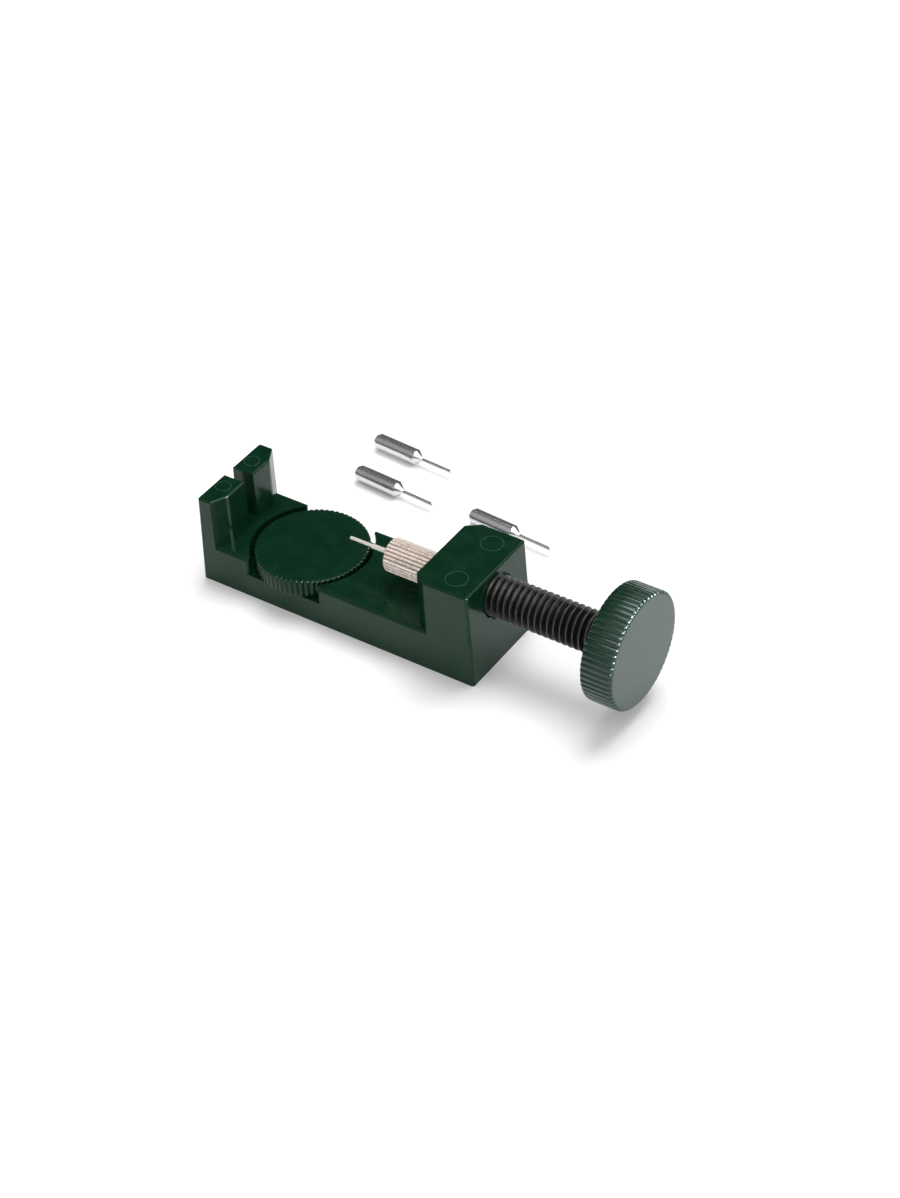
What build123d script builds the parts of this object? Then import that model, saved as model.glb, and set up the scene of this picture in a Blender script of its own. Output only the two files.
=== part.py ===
from build123d import *
from math import ceil, cos, pi, radians, sin, tan
import os

os.makedirs("parts", exist_ok=True)

# Screw press that pushes the link pins out of a watch bracelet. Sizes in millimetres.
# Origin: centre of the foot, on the surface that the tool stands on.
# +X runs along the main screw towards its knob, +Y to the back, +Z up.

# ---- pins: one in the holder, three spare
shank_radius = 1.9
shank_length = 13.0  # with its front cone and its rear step
shank_cone_length = 1.5
shank_step_length = 0.7
shank_step_radius = 1.45
pin_clearance = 0.1  # all round the pin in its holder
push_root_radius = 0.55
push_root_length = 5.8
push_needle_radius = 0.375
push_needle_length = 5.7
spare_needle_radius = 0.42
spare_needle_length = 8.5
needle_shoulder = 0.3  # the cone between a thick and a thin stretch
needle_tip_chamfer = 0.12
spare_behind_base = 23.0  # nearest row of spares, from the base's side
spare_row_gap = 12.0
spare_front_x = (-26.0, 5.0)  # rear ends of the two spares in the nearer row
spare_back_x = -29.0  # rear end of the spare in the further row
spare_turn = -4.0  # degrees about the vertical

# ---- pin holder, a knurled sleeve that is screwed on the main screw's front end
holder_radius = 3.8
holder_reach = 12.7  # in front of the block's inner face
holder_teeth = 26
holder_tooth_depth = 0.32
holder_nose = 0.7  # wall in front of the pin's cone
holder_chamfer = 0.35

# ---- main screw and knob
screw_rise = 6.5  # axis above the bay's floor
screw_pitch = 1.5
screw_thread_depth = 0.9
screw_undersize = 0.1  # thread root below the holder's surface
screw_crest_width = 0.25
screw_root_width = 1.3
screw_lead_in = 0.9
screw_start = 4.3  # front end of the thread, inside the bore
screw_axial_clearance = 0.18
ridge_foot = 0.1  # depth of each swept thread form below its root
screw_radial_clearance = 0.15
spigot_wall = 1.0  # front end, round the pin
spigot_length = 7.3
tail_radius = 3.4  # rear end, held in the knob
tail_length = 5.4
screwed_clearance = 0.02  # between pieces that are screwed or pressed together
knob_gap = 27.6  # from the block's outer face
knob_radius = 13.0
knob_thickness = 7.5
knob_teeth = 60
knob_tooth_depth = 0.42
knob_front_chamfer = 0.8
knob_rear_chamfer = 0.35

# ---- base: a moulded channel, with a screw block at +X and a two-tower fork at -X
base_length = 69.0  # at the top
base_width = 22.4  # at the top
end_draft = 2.0  # degrees
side_draft = 0.5  # degrees
floor_height = 10.0  # the bay's floor above the foot
block_cover = 1.95  # over the screw's bore
block_length = 13.75
fork_drop = 1.1  # the towers' tops below the block's
tower_length = 5.4
block_chamfer_x = 3.1  # the bay's upright inner corners are cut back
block_chamfer_y = 2.3
tower_chamfer_x = 2.0
tower_chamfer_y = 3.8
fork_slot_width = 3.0
fork_slot_rise = 0.6  # the slot's lowest point above the bay's floor
corner_radius = 0.6
top_edge_radius = 0.4
bay_corner_radius = 0.5
tower_corner_radius = 2.5
floor_edge_radius = 0.9
pocket_lip_radius = 0.8
bore_countersink = 0.5
block_mark_radius = 2.4  # thin raised rings left by the mould's ejector pins
block_mark_y = 6.6
block_mark_inset = 5.3
tower_mark_radius = 1.7
tower_mark_y = 5.1
tower_mark_inset = 2.4
mark_width = 0.3
mark_height = 0.12

# ---- round stage that carries the bracelet, and the threaded stud that raises it
stage_radius = 12.65
stage_thickness = 4.0
stage_teeth = 65
stage_tooth_depth = 0.4
stage_chamfer = 0.45
stage_gap = 0.2  # under the stage at its lowest
stage_rise = 2.4
pocket_clearance = 1.05  # round the stage
fork_to_pocket = 2.1
stud_thread_radius = 2.5
stud_thread_depth = 0.45
stud_pitch = 0.8
stud_crest_width = 0.12
stud_root_width = 0.68
stud_hole_clearance = 0.08
stud_head_radius = 2.4  # pressed into the stage
stud_head_length = 2.8
stud_end_height = 0.2  # lowest point above the foot
stud_lip = 0.4  # below the ring's groove
ring_thickness = 0.6
ring_width = 2.3
ring_depth = 0.45  # how far the ring sits below the stud's thread root
ring_clearance = 0.05  # above and below the ring in its groove
ring_bore_clearance = 0.1
ring_gap_width = 2.4
ring_stop_clearance = 0.1
recess_clearance = 0.8  # round the ring, in the underside

# ---- places and sizes that follow
screw_height = floor_height + screw_rise
screw_minor_radius = holder_radius - screw_undersize
screw_major_radius = screw_minor_radius + screw_thread_depth
bore_crest_radius = holder_radius + screw_radial_clearance
bore_root_radius = screw_major_radius + screw_radial_clearance
base_height = screw_height + bore_root_radius + block_cover
fork_height = base_height - fork_drop
foot_length = base_length + 2 * base_height * tan(radians(end_draft))
foot_width = base_width + 2 * base_height * tan(radians(side_draft))
half_length = base_length / 2
half_width = base_width / 2
block_face_x = half_length - block_length
tower_face_x = -half_length + tower_length
screw_face_x = block_face_x + screw_start
knob_face_x = half_length + knob_gap
holder_face_x = block_face_x - holder_reach
holder_length = screw_face_x - holder_face_x
pin_cone_x = holder_face_x + holder_nose + pin_clearance
pin_rear_x = pin_cone_x + shank_length
spigot_radius = shank_radius + pin_clearance + spigot_wall
spigot_face_x = screw_face_x - spigot_length
pocket_radius = stage_radius + pocket_clearance
pocket_floor = floor_height - stage_thickness - stage_gap
stage_bottom = pocket_floor + stage_gap
stage_x = tower_face_x + fork_to_pocket + pocket_radius
stud_root_radius = stud_thread_radius - stud_thread_depth
ring_bore_radius = stud_root_radius - ring_depth
ring_radius = ring_bore_radius + ring_width
groove_bottom = stud_end_height + stud_lip
groove_top = groove_bottom + ring_thickness + 2 * ring_clearance
ring_bottom = groove_bottom + ring_clearance
recess_depth = ring_bottom + ring_thickness + stage_rise + ring_stop_clearance

screw_side = Plane(origin=(0, 0, screw_height), x_dir=(1, 0, 0), z_dir=(0, -1, 0))
screw_end = Plane(origin=(0, 0, screw_height), x_dir=(0, 1, 0), z_dir=(1, 0, 0))
screw_line = Axis((0, 0, screw_height), (1, 0, 0))
stage_side = Plane(origin=(stage_x, 0, 0), x_dir=(1, 0, 0), z_dir=(0, -1, 0))
stage_plan = Plane(origin=(stage_x, 0, 0))
stage_line = Axis((stage_x, 0, 0), (0, 0, 1))


def knurled_outline(radius, depth, teeth):
    """Closed outline of a straight knurl: flat-topped teeth between narrow-bottomed valleys."""
    step = 2 * pi / teeth
    corners = [(-0.15, radius), (0.15, radius), (0.45, radius - depth), (0.55, radius - depth)]
    turned = [((n + share) * step, r) for n in range(teeth) for share, r in corners]
    return Polyline(*[(r * cos(angle), r * sin(angle)) for angle, r in turned], close=True)


def upright_edges(part, x, y):
    """Upright edges of a part at a distance along it and at a distance either side of its middle."""
    return part.edges().filter_by(
        lambda e: abs((e % 0.5).Z) > 0.9 and abs((e @ 0.5).X - x) < 0.01 and abs(abs((e @ 0.5).Y) - y) < 0.01
    )


def turned_outline(stations):
    """Closed half outline of a turned piece, from (distance along the axis, radius) stations."""
    return Polyline((stations[0][0], 0), *stations, (stations[-1][0], 0), close=True)


def helical_ridge(axis_plane, start, end, pitch, root_radius, root_width, crest_radius, crest_width):
    """Right-handed ridge round a plane's normal, from start to end along it, with a buried foot."""
    foot_radius = root_radius - ridge_foot
    foot_width = form_width(foot_radius, root_radius, root_width, crest_radius, crest_width)
    centre = axis_plane.origin + axis_plane.z_dir * start
    helix = Edge.make_helix(pitch, end - start, foot_radius, center=centre, normal=axis_plane.z_dir)
    outward = (helix @ 0 - centre).normalized()
    with BuildPart() as ridge:
        with BuildSketch(Plane(origin=helix @ 0, x_dir=outward, z_dir=helix % 0)):
            with BuildLine():
                Polyline(
                    (0, -foot_width / 2),
                    (crest_radius - foot_radius, -crest_width / 2),
                    (crest_radius - foot_radius, crest_width / 2),
                    (0, foot_width / 2),
                    close=True,
                )
            make_face()
        sweep(path=helix, is_frenet=True)
    return ridge.part


def form_width(radius, root_radius, root_width, crest_radius, crest_width):
    """Width of a tapering thread form at any radius, along the line through its root and crest."""
    return root_width + (crest_width - root_width) * (radius - root_radius) / (crest_radius - root_radius)


# ---- threads: each ridge and the groove that it runs in start whole turns apart, so they are in mesh
screw_ridge_start = screw_face_x - screw_pitch
turns_behind = ceil((screw_ridge_start - block_face_x) / screw_pitch + 1)
bore_groove_start = screw_ridge_start - screw_pitch * turns_behind
bore_groove_end = foot_length / 2 + screw_pitch
screw_ridge = helical_ridge(
    screw_end,
    screw_ridge_start,
    knob_face_x + screw_pitch,
    screw_pitch,
    screw_minor_radius,
    screw_root_width,
    screw_major_radius,
    screw_crest_width,
)
bore_groove = helical_ridge(
    screw_end,
    bore_groove_start,
    bore_groove_end,
    screw_pitch,
    bore_crest_radius,
    form_width(bore_crest_radius, screw_minor_radius, screw_root_width, screw_major_radius, screw_crest_width)
    + 2 * screw_axial_clearance,
    bore_root_radius,
    form_width(bore_root_radius, screw_minor_radius, screw_root_width, screw_major_radius, screw_crest_width)
    + 2 * screw_axial_clearance,
)
stud_ridge_start = groove_top - stud_pitch
stud_ridge = helical_ridge(
    stage_plan,
    stud_ridge_start,
    stage_bottom + stud_pitch,
    stud_pitch,
    stud_root_radius,
    stud_root_width,
    stud_thread_radius,
    stud_crest_width,
)

# ---- base
with BuildPart() as base:
    with BuildSketch(Plane.XY):
        Rectangle(foot_length, foot_width)
    with BuildSketch(Plane.XY.offset(base_height)):
        Rectangle(base_length, base_width)
    loft(ruled=True)
    fillet(base.edges().filter_by(lambda e: abs((e % 0.5).Z) > 0.9), corner_radius)

    # the bay, with its upright inner corners cut back and the cuts run out past the sides
    past_side = foot_width / 2 + 1
    block_run_out = block_chamfer_x * (past_side - half_width + block_chamfer_y) / block_chamfer_y
    tower_run_out = tower_chamfer_x * (past_side - half_width + tower_chamfer_y) / tower_chamfer_y
    with BuildSketch(Plane.XY.offset(floor_height)):
        with BuildLine():
            Polyline(
                (tower_face_x, 0),
                (tower_face_x, half_width - tower_chamfer_y),
                (tower_face_x - tower_run_out, past_side),
                (block_face_x + block_run_out, past_side),
                (block_face_x, half_width - block_chamfer_y),
                (block_face_x, 0),
            )
            mirror(about=Plane.XZ)
        make_face()
    extrude(amount=base_height, mode=Mode.SUBTRACT)

    # the fork is a little lower than the block
    with BuildSketch(Plane.XY.offset(fork_height)):
        with Locations((-half_length, 0)):
            Rectangle(2 * tower_length + 2, foot_width + 2)
    extrude(amount=base_height, mode=Mode.SUBTRACT)

    # the fork's slot, with a round bottom
    with BuildSketch(Plane.YZ.offset(tower_face_x + 1)):
        with BuildLine():
            slot_side = fork_slot_width / 2
            slot_spring = floor_height + fork_slot_rise + slot_side
            Polyline(
                (-slot_side, slot_spring),
                (-slot_side, base_height + 1),
                (slot_side, base_height + 1),
                (slot_side, slot_spring),
            )
            RadiusArc((slot_side, slot_spring), (-slot_side, slot_spring), slot_side)
        make_face()
    extrude(amount=-(foot_length - base_length) - tower_length - 1, mode=Mode.SUBTRACT)

    # eased edges
    fillet(
        base.edges().filter_by(
            lambda e: abs((e % 0.5).X) > 0.9 and abs((e @ 0.5).Z - floor_height) < 0.01
            and abs((e @ 0.5).Y) > half_width
        ),
        floor_edge_radius,
    )
    fillet(upright_edges(base, block_face_x, half_width - block_chamfer_y), bay_corner_radius)
    fillet(upright_edges(base, tower_face_x, half_width - tower_chamfer_y), tower_corner_radius)
    for top in (base_height, fork_height):
        fillet(base.faces().filter_by_position(Axis.Z, top - 0.01, top + 0.01).edges(), top_edge_radius)

    # the stage's pocket, open at both sides, where its upright lips are rounded
    pocket_side = half_width + (base_height - pocket_floor) * tan(radians(side_draft))
    with BuildSketch(stage_plan.offset(pocket_floor)):
        Circle(pocket_radius)
        with Locations((0, pocket_side + half_width / 2), (0, -pocket_side - half_width / 2)):
            Rectangle(4 * pocket_radius, half_width)
        fillet(vertices().filter_by(lambda v: abs(v.Y) < pocket_side + 1), pocket_lip_radius)
    extrude(amount=floor_height, mode=Mode.SUBTRACT)

    # the screw's bore and its thread, countersunk at both ends
    add(bore_groove, mode=Mode.SUBTRACT)
    with BuildSketch(screw_end.offset(block_face_x - 1)):
        Circle(bore_crest_radius)
    extrude(amount=block_length + foot_length - base_length + 1, mode=Mode.SUBTRACT)
    outer_face_x = half_length + (base_height - screw_height) * tan(radians(end_draft))
    sink_radius = bore_root_radius + bore_countersink
    with BuildSketch(screw_side):
        for mouth_x, inward in ((block_face_x, 1), (outer_face_x, -1)):
            with BuildLine():
                Polyline(
                    (mouth_x - inward, 0),
                    (mouth_x - inward, sink_radius + 1),
                    (mouth_x + inward * sink_radius, 0),
                    close=True,
                )
            make_face()
    revolve(axis=screw_line, mode=Mode.SUBTRACT)

    # the stud's hole through the web, and the recess under it
    with BuildSketch(stage_plan):
        Circle(stud_thread_radius + stud_hole_clearance)
    extrude(amount=floor_height, mode=Mode.SUBTRACT)
    with BuildSketch(stage_plan):
        Circle(ring_radius + recess_clearance)
    extrude(amount=recess_depth, mode=Mode.SUBTRACT)

    # ejector marks
    mark_places = [
        (half_length - block_mark_inset, block_mark_y, base_height, block_mark_radius),
        (-half_length + tower_mark_inset, tower_mark_y, fork_height, tower_mark_radius),
    ]
    for mark_x, mark_y, mark_base, mark_radius in mark_places:
        with BuildSketch(Plane.XY.offset(mark_base)):
            with Locations((mark_x, mark_y), (mark_x, -mark_y)):
                Circle(mark_radius + mark_width / 2)
                Circle(mark_radius - mark_width / 2, mode=Mode.SUBTRACT)
        extrude(amount=mark_height)

base.part.label = "base"
export_step(base.part, "parts/base.step")

# ---- main screw
with BuildPart() as main_screw:
    with BuildSketch(screw_end.offset(screw_face_x - screw_pitch)):
        Circle(screw_minor_radius)
    extrude(amount=knob_face_x - screw_face_x + 2 * screw_pitch)
    add(screw_ridge)
    with BuildSketch(screw_side):
        with BuildLine():
            turned_outline(
                [
                    (screw_face_x, screw_major_radius - screw_lead_in),
                    (screw_face_x + screw_lead_in, screw_major_radius + 0.1),
                    (knob_face_x, screw_major_radius + 0.1),
                ]
            )
        make_face()
    revolve(axis=screw_line, mode=Mode.INTERSECT)
    with BuildSketch(screw_end.offset(spigot_face_x)):
        Circle(spigot_radius)
    extrude(amount=spigot_length)
    with BuildSketch(screw_end.offset(knob_face_x)):
        Circle(tail_radius)
    extrude(amount=tail_length)
    with BuildSketch(screw_end.offset(spigot_face_x)):
        Circle(shank_radius + pin_clearance)
    extrude(amount=pin_rear_x + pin_clearance - spigot_face_x, mode=Mode.SUBTRACT)

main_screw.part.label = "main_screw"
export_step(main_screw.part, "parts/main_screw.step")

# ---- knob
with BuildPart() as knob:
    with BuildSketch(screw_end.offset(knob_face_x)):
        with BuildLine():
            knurled_outline(knob_radius, knob_tooth_depth, knob_teeth)
        make_face()
    extrude(amount=knob_thickness)
    knob_front_x = knob_face_x + knob_thickness
    with BuildSketch(screw_side):
        with BuildLine():
            turned_outline(
                [
                    (knob_face_x, knob_radius - knob_rear_chamfer),
                    (knob_face_x + knob_rear_chamfer, knob_radius),
                    (knob_front_x - knob_front_chamfer, knob_radius),
                    (knob_front_x, knob_radius - knob_front_chamfer),
                ]
            )
        make_face()
    revolve(axis=screw_line, mode=Mode.INTERSECT)
    with BuildSketch(screw_end.offset(knob_face_x)):
        Circle(tail_radius + screwed_clearance)
    extrude(amount=tail_length + screwed_clearance, mode=Mode.SUBTRACT)

knob.part.label = "knob"
export_step(knob.part, "parts/knob.step")

# ---- pin holder
with BuildPart() as pin_holder:
    with BuildSketch(screw_end.offset(holder_face_x)):
        with BuildLine():
            knurled_outline(holder_radius, holder_tooth_depth, holder_teeth)
        make_face()
    extrude(amount=holder_length)
    with BuildSketch(screw_side):
        with BuildLine():
            turned_outline(
                [
                    (holder_face_x, holder_radius - holder_chamfer),
                    (holder_face_x + holder_chamfer, holder_radius),
                    (screw_face_x - holder_chamfer, holder_radius),
                    (screw_face_x, holder_radius - holder_chamfer),
                ]
            )
        make_face()
    revolve(axis=screw_line, mode=Mode.INTERSECT)
    nose_radius = push_root_radius + pin_clearance
    nose_inner_x = holder_face_x + holder_nose
    with BuildSketch(screw_side):
        with BuildLine():
            turned_outline(
                [
                    (holder_face_x, nose_radius),
                    (nose_inner_x, nose_radius),
                    (nose_inner_x + shank_cone_length, shank_radius + pin_clearance),
                    (spigot_face_x - pin_clearance, shank_radius + pin_clearance),
                    (spigot_face_x - pin_clearance, spigot_radius + screwed_clearance),
                    (screw_face_x, spigot_radius + screwed_clearance),
                ]
            )
        make_face()
    revolve(axis=screw_line, mode=Mode.SUBTRACT)

pin_holder.part.label = "pin_holder"
export_step(pin_holder.part, "parts/pin_holder.step")

# ---- pins, each drawn from its rear end towards its tip
shank_stations = [
    (0, shank_step_radius),
    (shank_step_length, shank_step_radius),
    (shank_step_length, shank_radius),
    (shank_length - shank_cone_length, shank_radius),
]
push_tip = shank_length + push_root_length + push_needle_length
push_stations = shank_stations + [
    (shank_length, push_root_radius),
    (shank_length + push_root_length, push_root_radius),
    (shank_length + push_root_length + needle_shoulder, push_needle_radius),
    (push_tip - needle_tip_chamfer, push_needle_radius),
    (push_tip, push_needle_radius - needle_tip_chamfer),
]
with BuildPart() as push_pin:
    with BuildSketch(Plane(origin=(pin_rear_x, 0, screw_height), x_dir=(-1, 0, 0), z_dir=(0, 1, 0))):
        with BuildLine():
            turned_outline(push_stations)
        make_face()
    revolve(axis=screw_line)

push_pin.part.label = "push_pin"
export_step(push_pin.part, "parts/push_pin.step")

spare_tip = shank_length + spare_needle_length
spare_stations = shank_stations + [
    (shank_length, spare_needle_radius),
    (spare_tip - needle_tip_chamfer, spare_needle_radius),
    (spare_tip, spare_needle_radius - needle_tip_chamfer),
]
spare_front_y = foot_width / 2 + spare_behind_base
spare_places = [(x, spare_front_y) for x in spare_front_x] + [(spare_back_x, spare_front_y + spare_row_gap)]
spare_direction = (cos(radians(spare_turn)), sin(radians(spare_turn)), 0)
for number, (rear_x, rear_y) in enumerate(spare_places, start=1):
    rear_end = (rear_x, rear_y, shank_radius)
    facing = (sin(radians(spare_turn)), -cos(radians(spare_turn)), 0)
    with BuildPart() as spare_pin:
        with BuildSketch(Plane(origin=rear_end, x_dir=spare_direction, z_dir=facing)):
            with BuildLine():
                turned_outline(spare_stations)
            make_face()
        revolve(axis=Axis(rear_end, spare_direction))
    spare_pin.part.label = f"spare_pin_{number}"
    export_step(spare_pin.part, f"parts/spare_pin_{number}.step")

# ---- stage
with BuildPart() as stage_disc:
    with BuildSketch(stage_plan.offset(stage_bottom)):
        with BuildLine():
            knurled_outline(stage_radius, stage_tooth_depth, stage_teeth)
        make_face()
    extrude(amount=stage_thickness)
    stage_top = stage_bottom + stage_thickness
    with BuildSketch(stage_side):
        with BuildLine():
            Polyline(
                (0, stage_bottom),
                (stage_radius - stage_chamfer, stage_bottom),
                (stage_radius, stage_bottom + stage_chamfer),
                (stage_radius, stage_top - stage_chamfer),
                (stage_radius - stage_chamfer, stage_top),
                (0, stage_top),
                close=True,
            )
        make_face()
    revolve(axis=stage_line, mode=Mode.INTERSECT)
    with BuildSketch(stage_plan.offset(stage_bottom)):
        Circle(stud_head_radius + screwed_clearance)
    extrude(amount=stud_head_length, mode=Mode.SUBTRACT)

stage_disc.part.label = "stage_disc"
export_step(stage_disc.part, "parts/stage_disc.step")

# ---- stage stud
with BuildPart() as stage_stud:
    with BuildSketch(stage_plan.offset(groove_top - stud_pitch)):
        Circle(stud_root_radius)
    extrude(amount=stage_bottom - groove_top + 2 * stud_pitch)
    add(stud_ridge)
    with BuildSketch(stage_side):
        with BuildLine():
            Polyline(
                (0, groove_top),
                (stud_root_radius, groove_top),
                (stud_thread_radius + 0.1, groove_top + stud_thread_depth + 0.1),
                (stud_thread_radius + 0.1, stage_bottom),
                (0, stage_bottom),
                close=True,
            )
        make_face()
    revolve(axis=stage_line, mode=Mode.INTERSECT)
    with BuildSketch(stage_plan.offset(stage_bottom)):
        Circle(stud_head_radius)
    extrude(amount=stud_head_length)
    with BuildSketch(stage_plan.offset(groove_bottom)):
        Circle(ring_bore_radius - ring_bore_clearance)
    extrude(amount=groove_top - groove_bottom)
    with BuildSketch(stage_plan.offset(stud_end_height)):
        Circle(stud_root_radius)
    extrude(amount=stud_lip)

stage_stud.part.label = "stage_stud"
export_step(stage_stud.part, "parts/stage_stud.step")

# ---- retaining ring in the stud's groove, open to one side
with BuildPart() as stage_ring:
    with BuildSketch(stage_plan.offset(ring_bottom)):
        Circle(ring_radius)
        Circle(ring_bore_radius, mode=Mode.SUBTRACT)
        with Locations((0, -ring_radius / 2)):
            Rectangle(ring_gap_width, ring_radius + 1, mode=Mode.SUBTRACT)
    extrude(amount=ring_thickness)

stage_ring.part.label = "stage_retaining_ring"
export_step(stage_ring.part, "parts/stage_retaining_ring.step")
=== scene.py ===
from math import cos, pi, radians, sin

import bmesh
import bpy
from mathutils import Matrix, Vector


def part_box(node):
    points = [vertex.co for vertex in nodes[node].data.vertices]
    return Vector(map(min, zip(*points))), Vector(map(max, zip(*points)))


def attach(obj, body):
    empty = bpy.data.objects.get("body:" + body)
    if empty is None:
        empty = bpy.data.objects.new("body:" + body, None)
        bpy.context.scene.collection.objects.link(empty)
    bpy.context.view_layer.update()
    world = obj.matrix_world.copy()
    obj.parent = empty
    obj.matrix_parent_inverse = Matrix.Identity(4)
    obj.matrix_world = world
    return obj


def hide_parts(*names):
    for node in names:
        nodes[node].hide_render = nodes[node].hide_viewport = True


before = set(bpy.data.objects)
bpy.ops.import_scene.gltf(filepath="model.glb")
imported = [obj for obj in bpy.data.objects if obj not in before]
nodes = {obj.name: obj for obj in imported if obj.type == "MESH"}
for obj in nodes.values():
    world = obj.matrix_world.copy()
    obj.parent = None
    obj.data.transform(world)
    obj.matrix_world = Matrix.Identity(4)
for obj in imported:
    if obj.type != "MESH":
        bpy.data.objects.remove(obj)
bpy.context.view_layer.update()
MM = 0.001

# ---------------------------------------------------------------- sizes read from the frame
SCREW_LOW, SCREW_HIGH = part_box("main_screw")
SCREW_AXIS_Z = (SCREW_LOW.z + SCREW_HIGH.z) / 2
SCREW_RADIUS = SCREW_HIGH.z - SCREW_AXIS_Z
HOLDER_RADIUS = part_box("pin_holder")[1].z - SCREW_AXIS_Z
KNOB_LOW, KNOB_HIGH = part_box("knob")
KNOB_RADIUS = (KNOB_HIGH.z - KNOB_LOW.z) / 2
STAGE_LOW, STAGE_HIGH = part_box("stage_disc")
STAGE_X = (STAGE_LOW.x + STAGE_HIGH.x) / 2
STAGE_RADIUS = (STAGE_HIGH.x - STAGE_LOW.x) / 2

# The mould's ejector marks on the base's tops, each at both sides: x, y, radius. They are drawn only as paler
# rings painted into the colour, a painted highlight.
EJECTOR_MARKS = ((29.2 * MM, 6.6 * MM, 2.4 * MM), (-32.1 * MM, 5.1 * MM, 1.7 * MM))
MARK_WIDTH = 0.3 * MM


# ---------------------------------------------------------------- materials
RANGE_SOCKETS = ("From Min", "From Max", "To Min", "To Max")


class Shader:
    """A material's node tree, with short calls to add and join nodes."""

    def __init__(self, name):
        self.material = bpy.data.materials.new(name)
        self.material.use_nodes = True
        self.tree = self.material.node_tree
        self.surface = self.tree.nodes["Principled BSDF"]

    def add(self, kind, **values):
        node = self.tree.nodes.new(kind)
        for key, value in values.items():
            setattr(node, key, value)
        return node

    def join(self, output, socket):
        self.tree.links.new(output, socket)

    def give(self, socket, output):
        """Feeds one of the surface's own sockets."""
        self.join(output, self.surface.inputs[socket])

    def set(self, **values):
        """Fixed values for the surface's own sockets."""
        for key, value in values.items():
            self.surface.inputs[key.replace("_", " ")].default_value = value

    def place(self):
        """Where a point lies on the resting object, in metres."""
        return self.add("ShaderNodeTexCoord").outputs["Object"]

    def noise(self, size_mm, detail=2.0, place=None, roughness=0.5, distortion=0.0):
        node = self.add("ShaderNodeTexNoise")
        node.inputs["Scale"].default_value = 1 / (size_mm * MM)
        node.inputs["Detail"].default_value = detail
        node.inputs["Roughness"].default_value = roughness
        node.inputs["Distortion"].default_value = distortion
        self.join(place or self.place(), node.inputs["Vector"])
        return node.outputs["Fac"]

    def stretch(self, scale, turn=(0, 0, 0)):
        """Places turned, then squeezed along each axis, for streaks."""
        node = self.add("ShaderNodeMapping")
        node.inputs["Rotation"].default_value = turn
        node.inputs["Scale"].default_value = scale
        self.join(self.place(), node.inputs["Vector"])
        return node.outputs["Vector"]

    def remap(self, value, low, high, to_low, to_high, smooth=False):
        node = self.add("ShaderNodeMapRange")
        node.interpolation_type = "SMOOTHSTEP" if smooth else "LINEAR"
        for socket, number in zip(RANGE_SOCKETS, (low, high, to_low, to_high)):
            node.inputs[socket].default_value = number
        self.join(value, node.inputs["Value"])
        return node.outputs["Result"]

    def math(self, operation, one, other=None):
        node = self.add("ShaderNodeMath", operation=operation)
        for socket, value in zip(node.inputs, (one, other)):
            if isinstance(value, (int, float)):
                socket.default_value = value
            elif value is not None:
                self.join(value, socket)
        return node.outputs[0]

    def blend(self, factor, one, other):
        """A colour between two, which may each be a colour or a socket."""
        node = self.add("ShaderNodeMix", data_type="RGBA")
        self.join(factor, node.inputs["Factor"])
        for socket, value in ((node.inputs[6], one), (node.inputs[7], other)):
            if isinstance(value, tuple):
                socket.default_value = (*value, 1)
            else:
                self.join(value, socket)
        return node.outputs[2]

    def bump(self, height, depth_mm, under=None):
        node = self.add("ShaderNodeBump")
        node.inputs["Distance"].default_value = depth_mm * MM
        node.inputs["Strength"].default_value = 1.0
        self.join(height, node.inputs["Height"])
        if under:
            self.join(under, node.inputs["Normal"])
        return node.outputs["Normal"]

    def distance_from_line(self, centre, along):
        """Distance of a point from a line through centre that runs along an axis, in metres."""
        split = self.add("ShaderNodeSeparateXYZ")
        self.join(self.place(), split.inputs[0])
        squares = []
        for axis in "XYZ":
            if axis != along:
                offset = self.math("SUBTRACT", split.outputs[axis], centre["XYZ".index(axis)])
                squares.append(self.math("MULTIPLY", offset, offset))
        return self.math("SQRT", self.math("ADD", *squares))

    def ring_band(self, centre_x, centre_y, radius, width):
        """One on a thin ring about an upright line at each side of the middle, and nought elsewhere."""
        split = self.add("ShaderNodeSeparateXYZ")
        self.join(self.place(), split.inputs[0])
        across = self.math("SUBTRACT", self.math("ABSOLUTE", split.outputs["Y"]), centre_y)
        along = self.math("SUBTRACT", split.outputs["X"], centre_x)
        squares = self.math("ADD", self.math("MULTIPLY", along, along), self.math("MULTIPLY", across, across))
        off = self.math("ABSOLUTE", self.math("SUBTRACT", self.math("SQRT", squares), radius))
        return self.remap(off, 0.4 * width, 0.7 * width, 1.0, 0.0, smooth=True)


def green_moulding(name, gloss, haze_colour, highlight_rings=()):
    """Very dark green moulding: faint orange peel, haze, handling marks, and paler rings painted over the
    mould's ejector marks as a painted highlight.
    """
    paint = Shader(name)
    peel = paint.noise(1.6, detail=1.0)
    grain = paint.noise(0.22, detail=2.0)
    haze = paint.noise(5.0, detail=4.0, roughness=0.6)
    streaks = paint.stretch((0.12, 1.0, 2.2), (0.3, 0.5, 0.4))
    marks = paint.noise(1.0, detail=3.0, place=streaks, distortion=0.6)
    scratch = paint.remap(marks, 0.72, 0.75, 0.0, 1.0)
    body = paint.blend(paint.remap(haze, 0.3, 0.7, 0.0, 1.0), (0.0018, 0.0185, 0.0076), haze_colour)
    rough = paint.math("ADD", paint.remap(haze, 0.3, 0.7, 0.14, 0.24), paint.math("MULTIPLY", scratch, 0.08))
    for mark_x, mark_y, mark_radius in highlight_rings:
        # A paler ring painted round each ejector mark is a painted highlight; its finish is also made
        # rougher.
        ring = paint.ring_band(mark_x, mark_y, mark_radius, MARK_WIDTH)
        body = paint.blend(ring, body, (0.009, 0.041, 0.025))
        rough = paint.math("ADD", rough, paint.math("MULTIPLY", ring, 0.12))
    paint.give("Base Color", body)
    paint.give("Roughness", rough)
    peeled = paint.bump(peel, 0.010)
    paint.give("Normal", paint.bump(grain, 0.0022, peeled))
    paint.set(IOR=1.5, Specular_IOR_Level=gloss, Specular_Tint=(0.80, 1.0, 0.95, 1.0))
    return paint.material


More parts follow.
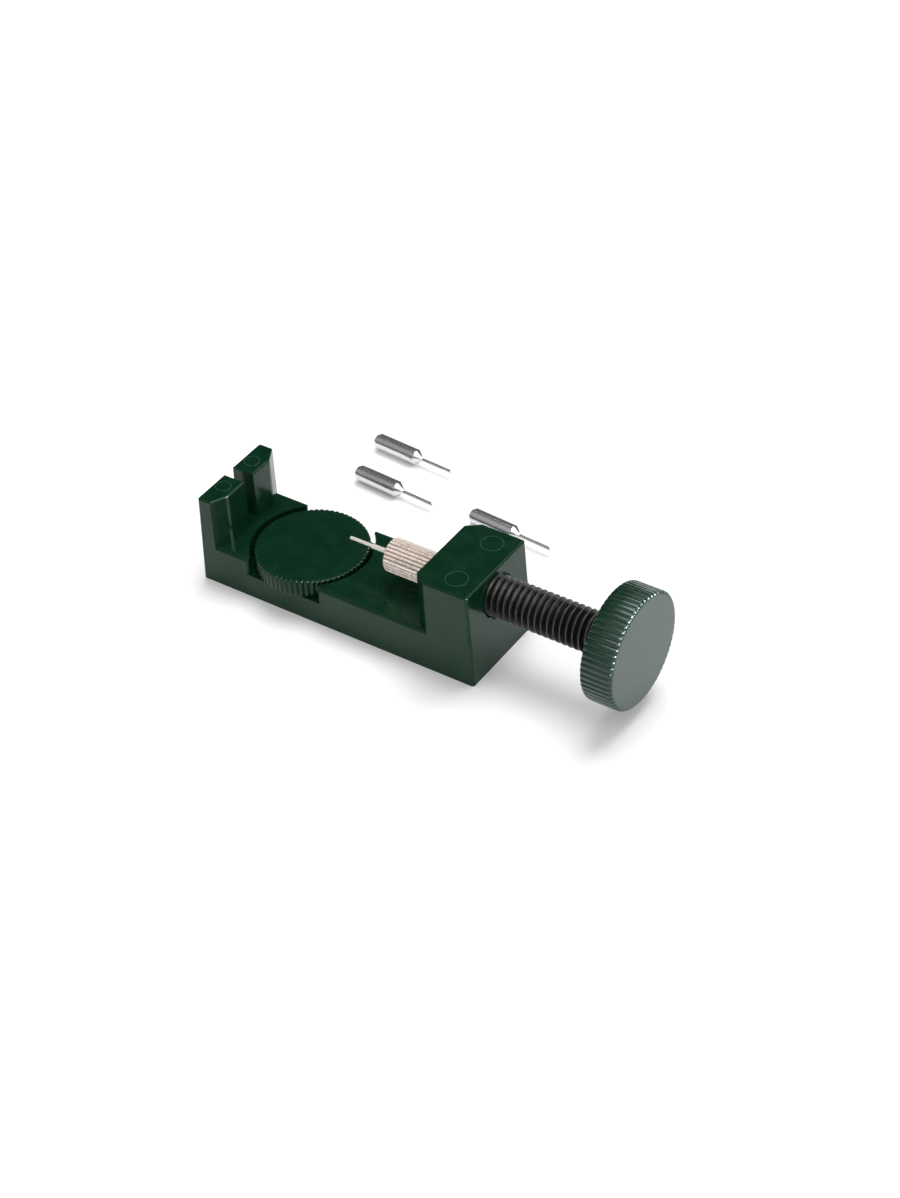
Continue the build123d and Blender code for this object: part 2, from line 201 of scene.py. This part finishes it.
def black_steel():
    """Black-oxide steel, with a thin grey line painted on the thread's crests: a painted highlight."""
    steel = Shader("black_steel")
    rubbing_and_glint = steel.noise(0.5, detail=3.0)
    radius = steel.distance_from_line((0, 0, SCREW_AXIS_Z), "X")
    # The grey line on the crests is a painted highlight. The same noise roughens the steel and varies that
    # highlight.
    crest = steel.remap(radius, SCREW_RADIUS - 0.06 * MM, SCREW_RADIUS - 0.01 * MM, 0.0, 1.0)
    painted_crest_highlight = steel.math("MULTIPLY", crest, steel.remap(rubbing_and_glint, 0.3, 0.6, 0.45, 1.0))
    steel.give("Base Color", steel.blend(painted_crest_highlight, (0.004, 0.0036, 0.0036), (0.060, 0.055, 0.052)))
    steel.give("Roughness", steel.remap(rubbing_and_glint, 0.3, 0.7, 0.30, 0.48))
    steel.give("Normal", steel.bump(rubbing_and_glint, 0.006))
    steel.set(IOR=1.45, Specular_IOR_Level=0.35)
    return steel.material


def nickel_plate():
    """Warm nickel plate, with painted shade darkening the bottom of the knurl's valleys."""
    nickel = Shader("nickel_plate")
    radius = nickel.distance_from_line((0, 0, SCREW_AXIS_Z), "X")
    ridge_over_valley_shade = nickel.remap(radius, HOLDER_RADIUS - 0.36 * MM, HOLDER_RADIUS - 0.12 * MM, 0.0, 1.0)
    wear = nickel.noise(1.1, detail=2.0)
    # The dark brown in the knurl's valleys is painted shade.
    nickel.give("Base Color", nickel.blend(ridge_over_valley_shade, (0.10, 0.062, 0.045), (0.92, 0.81, 0.73)))
    nickel.give("Roughness", nickel.remap(wear, 0.3, 0.7, 0.24, 0.34))
    nickel.set(Metallic=0.62)
    return nickel.material


def turned_steel(name, tint, sheen, turn=0.0):
    """Turned steel, with fine tool lines round the piece. The less its sheen, the more satin it is."""
    steel = Shader(name)
    lines = steel.noise(0.06, detail=2.0, place=steel.stretch((3.0, 0.2, 0.2), (0, 0, turn)))
    smear = steel.noise(1.2, detail=3.0)
    dull_tint = tuple(0.9 * part for part in tint)
    steel.give("Base Color", steel.blend(steel.remap(smear, 0.3, 0.7, 0.0, 1.0), dull_tint, tint))
    steel.give("Roughness", steel.remap(lines, 0.3, 0.7, 0.12, 0.24))
    steel.give("Normal", steel.bump(lines, 0.002))
    steel.set(Metallic=sheen)
    return steel.material


def paper_white():
    """The floor's matt white."""
    paper = Shader("paper_white")
    fibre = paper.noise(0.4, detail=2.0)
    paper.give("Base Color", paper.blend(fibre, (0.90, 0.90, 0.90), (0.93, 0.925, 0.92)))
    paper.set(Roughness=0.75, Specular_IOR_Level=0.2)
    return paper.material


def dress(node_names, material):
    """Gives nodes their material."""
    for name in node_names:
        mesh = nodes[name].data
        mesh.materials.clear()
        mesh.materials.append(material)


GREEN = green_moulding("green_moulding", 0.25, (0.0028, 0.0250, 0.0105), EJECTOR_MARKS)
KNOB_GREEN = green_moulding("green_knob", 0.62, (0.0045, 0.0270, 0.0135))
SPARE_PIN_TURN = radians(4)  # how far the spare pins lie turned from the screw's line

dress(["base", "stage_disc"], GREEN)
dress(["knob"], KNOB_GREEN)
dress(["main_screw", "stage_stud", "stage_retaining_ring"], black_steel())
dress(["pin_holder"], nickel_plate())
dress(["push_pin"], turned_steel("push_pin_steel", (0.86, 0.82, 0.73), 0.45))
dress(
    ["spare_pin_1", "spare_pin_2", "spare_pin_3"],
    turned_steel("spare_pin_steel", (0.70, 0.70, 0.72), 0.92, SPARE_PIN_TURN),
)


# ---------------------------------------------------------------- made pieces
def as_object(bm, name, material):
    """A made mesh as an object of the scene."""
    mesh = bpy.data.meshes.new(name)
    bm.to_mesh(mesh)
    bm.free()
    mesh.materials.append(material)
    made = bpy.data.objects.new(name, mesh)
    bpy.context.scene.collection.objects.link(made)
    return made


# ---------------------------------------------------------------- knurled knob and stage
KNOB_TEETH = 60
KNOB_KNURL = 0.30 * MM
KNOB_EASE = 0.8 * MM
STAGE_TEETH = 65
STAGE_KNURL = 0.34 * MM
STAGE_EASE = 0.35 * MM
SKIN = 0.01 * MM  # how far a made piece stays inside its node
MERGE = 0.001 * MM

# One tooth of a straight knurl, a broad land and then a rounded groove. Each corner has its share of the way
# to the next tooth, from the middle of the land, and its share of the knurl's depth.
KNURL_CORNERS = (
    (-0.30, 0.14), (-0.21, 0.0), (0.0, 0.0), (0.21, 0.0), (0.30, 0.14),
    (0.40, 0.80), (0.50, 1.0), (0.60, 0.80), (0.70, 0.14),
)


def knurl_outline(bm, radius, depth, teeth):
    """A closed outline about Z: the corners of one tooth, joined up and spun round."""
    tooth_turn = 2 * pi / teeth
    for share, sunk in KNURL_CORNERS:
        corner = bm.verts.new((radius - depth * sunk, 0, 0))
        bmesh.ops.rotate(bm, verts=[corner], matrix=Matrix.Rotation(share * tooth_turn, 3, "Z"))
    for one, two in zip(bm.verts[:-1], bm.verts[1:]):
        bm.edges.new((one, two))
    bmesh.ops.spin(
        bm, geom=[*bm.verts, *bm.edges], axis=(0, 0, 1), angle=2 * pi - tooth_turn, steps=teeth - 1,
        use_duplicate=True,
    )
    bmesh.ops.remove_doubles(bm, verts=bm.verts, dist=MERGE)


def draw_up(bm, radius, stations):
    """Extrudes the outline through (height, drop) stations, each drop inside the full size, and closes it."""
    rim, edges = bm.verts[:], bm.edges[:]
    last_height, last_size = 0.0, radius
    for number, (height, drop) in enumerate(stations):
        if number:
            made = bmesh.ops.extrude_edge_only(bm, edges=edges)["geom"]
            rim = [one for one in made if isinstance(one, bmesh.types.BMVert)]
            edges = [one for one in made if isinstance(one, bmesh.types.BMEdge) and one.is_boundary]
        growth = (radius - drop) / last_size
        bmesh.ops.scale(bm, verts=rim, vec=(growth, growth, 1))
        bmesh.ops.translate(bm, verts=rim, vec=(0, 0, height - last_height))
        last_height, last_size = height, radius - drop
    open_edges = [edge for edge in bm.edges if edge.is_boundary]
    bmesh.ops.holes_fill(bm, edges=open_edges, sides=0)


def eased_ends(low, high, ease, steps):
    """Stations from low to high, each end rounded over by ease."""
    turns = [pi / 2 * step / steps for step in range(steps + 1)]
    first = [(low + ease * (1 - cos(turn)), ease * (1 - sin(turn))) for turn in turns]
    return first + [(low + high - height, drop) for height, drop in reversed(first)]


def knurled_piece(name, node, body, material, place, radius, depth, teeth, stations):
    """A closed knurled disc, moved from Z on to its own axis, in place of a node."""
    bm = bmesh.new()
    knurl_outline(bm, radius, depth, teeth)
    draw_up(bm, radius, stations)
    bmesh.ops.recalc_face_normals(bm, faces=bm.faces)
    bm.transform(place)
    piece = as_object(bm, name, material)
    piece.data.set_sharp_from_angle(angle=radians(50))
    for face in piece.data.polygons:
        face.use_smooth = face.loop_total == 4  # all but the two flat ends
    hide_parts(node)
    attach(piece, body)


knurled_piece(
    "knurled_knob", "knob", "screw", KNOB_GREEN,
    Matrix.Translation((0, 0, SCREW_AXIS_Z)) @ Matrix.Rotation(pi / 2, 4, "Y"),
    KNOB_RADIUS - SKIN, KNOB_KNURL, KNOB_TEETH,
    eased_ends(KNOB_LOW.x + SKIN, KNOB_HIGH.x - SKIN, KNOB_EASE, 4),
)
knurled_piece(
    "knurled_stage", "stage_disc", "stage", GREEN,
    Matrix.Translation((STAGE_X, 0, 0)),
    STAGE_RADIUS - SKIN, STAGE_KNURL, STAGE_TEETH,
    eased_ends(STAGE_LOW.z, STAGE_HIGH.z, STAGE_EASE, 3),
)


def soften(node, width_mm):
    """Fine rounded edges on a node."""
    bevel = nodes[node].modifiers.new("fine_edges", "BEVEL")
    bevel.width = width_mm * MM
    bevel.segments = 2
    bevel.limit_method = "ANGLE"
    bevel.angle_limit = radians(40)


soften("base", 0.08)


# ---------------------------------------------------------------- floor, light and camera
GLOW_DIRECTION = (0.42, -0.56, 0.71)
GLOW_EDGES = (0.25, 0.95)  # cosines of the angles from that direction at which the glow starts and is full
GLOW_LEVELS = (0.03, 1.1)
SURROUND = 0.84
LIGHT_AIM = Vector((0.02, 0, 0.01))

CAMERA_AZIMUTH = radians(36.39)
CAMERA_ELEVATION = radians(39.99)
CAMERA_ROLL = radians(-3.86)
CAMERA_DISTANCE = 0.58545
CAMERA_AIM = Vector((0.0192, 0.0, 0.01224))
CAMERA_LENS = 83.86
CAMERA_SHIFT = (0.0109, -0.0106)


def make_floor():
    """A wide plain floor that the tool stands on."""
    bm = bmesh.new()
    bmesh.ops.create_circle(bm, cap_ends=True, segments=96, radius=4.0)
    as_object(bm, "floor", paper_white())


def soft_light(name, towards, size, power, only_in_reflections=False):
    """A round soft light, a metre from the tool in a direction, and facing it."""
    data = bpy.data.lights.new(name, "AREA")
    data.shape = "DISK"
    data.size = size
    data.energy = power
    light = bpy.data.objects.new(name, data)
    bpy.context.scene.collection.objects.link(light)
    direction = Vector(towards).normalized()
    light.location = LIGHT_AIM + direction
    light.rotation_mode = "QUATERNION"
    light.rotation_quaternion = direction.to_track_quat("Z", "Y")
    light.visible_diffuse = not only_in_reflections
    light.visible_camera = False


def make_world():
    """An even white surround that lights the tool. Its reflection is dark but for a glow over the front."""
    world = bpy.data.worlds.new("studio")
    bpy.context.scene.world = world
    world.use_nodes = True
    tree = world.node_tree
    path = tree.nodes.new("ShaderNodeLightPath")
    towards = tree.nodes.new("ShaderNodeTexCoord")
    facing = tree.nodes.new("ShaderNodeVectorMath")
    facing.operation = "DOT_PRODUCT"
    facing.inputs[1].default_value = GLOW_DIRECTION
    tree.links.new(towards.outputs["Generated"], facing.inputs[0])
    glow = tree.nodes.new("ShaderNodeMapRange")
    glow.interpolation_type = "SMOOTHSTEP"
    for socket, number in zip(RANGE_SOCKETS, GLOW_EDGES + GLOW_LEVELS):
        glow.inputs[socket].default_value = number
    tree.links.new(facing.outputs["Value"], glow.inputs["Value"])
    level = tree.nodes.new("ShaderNodeMix")
    level.inputs["A"].default_value = SURROUND
    tree.links.new(path.outputs["Is Glossy Ray"], level.inputs["Factor"])
    tree.links.new(glow.outputs["Result"], level.inputs["B"])
    background = tree.nodes["Background"]
    background.inputs["Color"].default_value = (1.0, 1.0, 1.0, 1)
    tree.links.new(level.outputs["Result"], background.inputs["Strength"])


def make_camera():
    """A long lens above the tool's right-hand front corner."""
    data = bpy.data.cameras.new("camera")
    data.lens = CAMERA_LENS
    data.sensor_width = 36
    data.shift_x, data.shift_y = CAMERA_SHIFT
    data.clip_start, data.clip_end = 0.01, 50
    camera = bpy.data.objects.new("camera", data)
    bpy.context.scene.collection.objects.link(camera)
    back = Vector((
        sin(CAMERA_AZIMUTH) * cos(CAMERA_ELEVATION),
        -cos(CAMERA_AZIMUTH) * cos(CAMERA_ELEVATION),
        sin(CAMERA_ELEVATION),
    ))
    right = Vector((cos(CAMERA_AZIMUTH), sin(CAMERA_AZIMUTH), 0))
    up = back.cross(right)
    rolled_right = cos(CAMERA_ROLL) * right + sin(CAMERA_ROLL) * up
    rolled_up = -sin(CAMERA_ROLL) * right + cos(CAMERA_ROLL) * up
    turn = Matrix((rolled_right, rolled_up, back)).transposed()
    camera.matrix_world = Matrix.LocRotScale(CAMERA_AIM + back * CAMERA_DISTANCE, turn.to_quaternion(), None)
    bpy.context.scene.camera = camera


make_floor()
make_world()
soft_light("key", (0.0, 0.36, 0.93), 0.75, 7.0)
soft_light("side_glint", (0.80, 0.16, 0.46), 0.45, 36.0, only_in_reflections=True)
soft_light("front_glint", (0.52, -0.38, 0.76), 0.22, 6.0, only_in_reflections=True)
make_camera()
bpy.context.scene.view_settings.view_transform = "Standard"
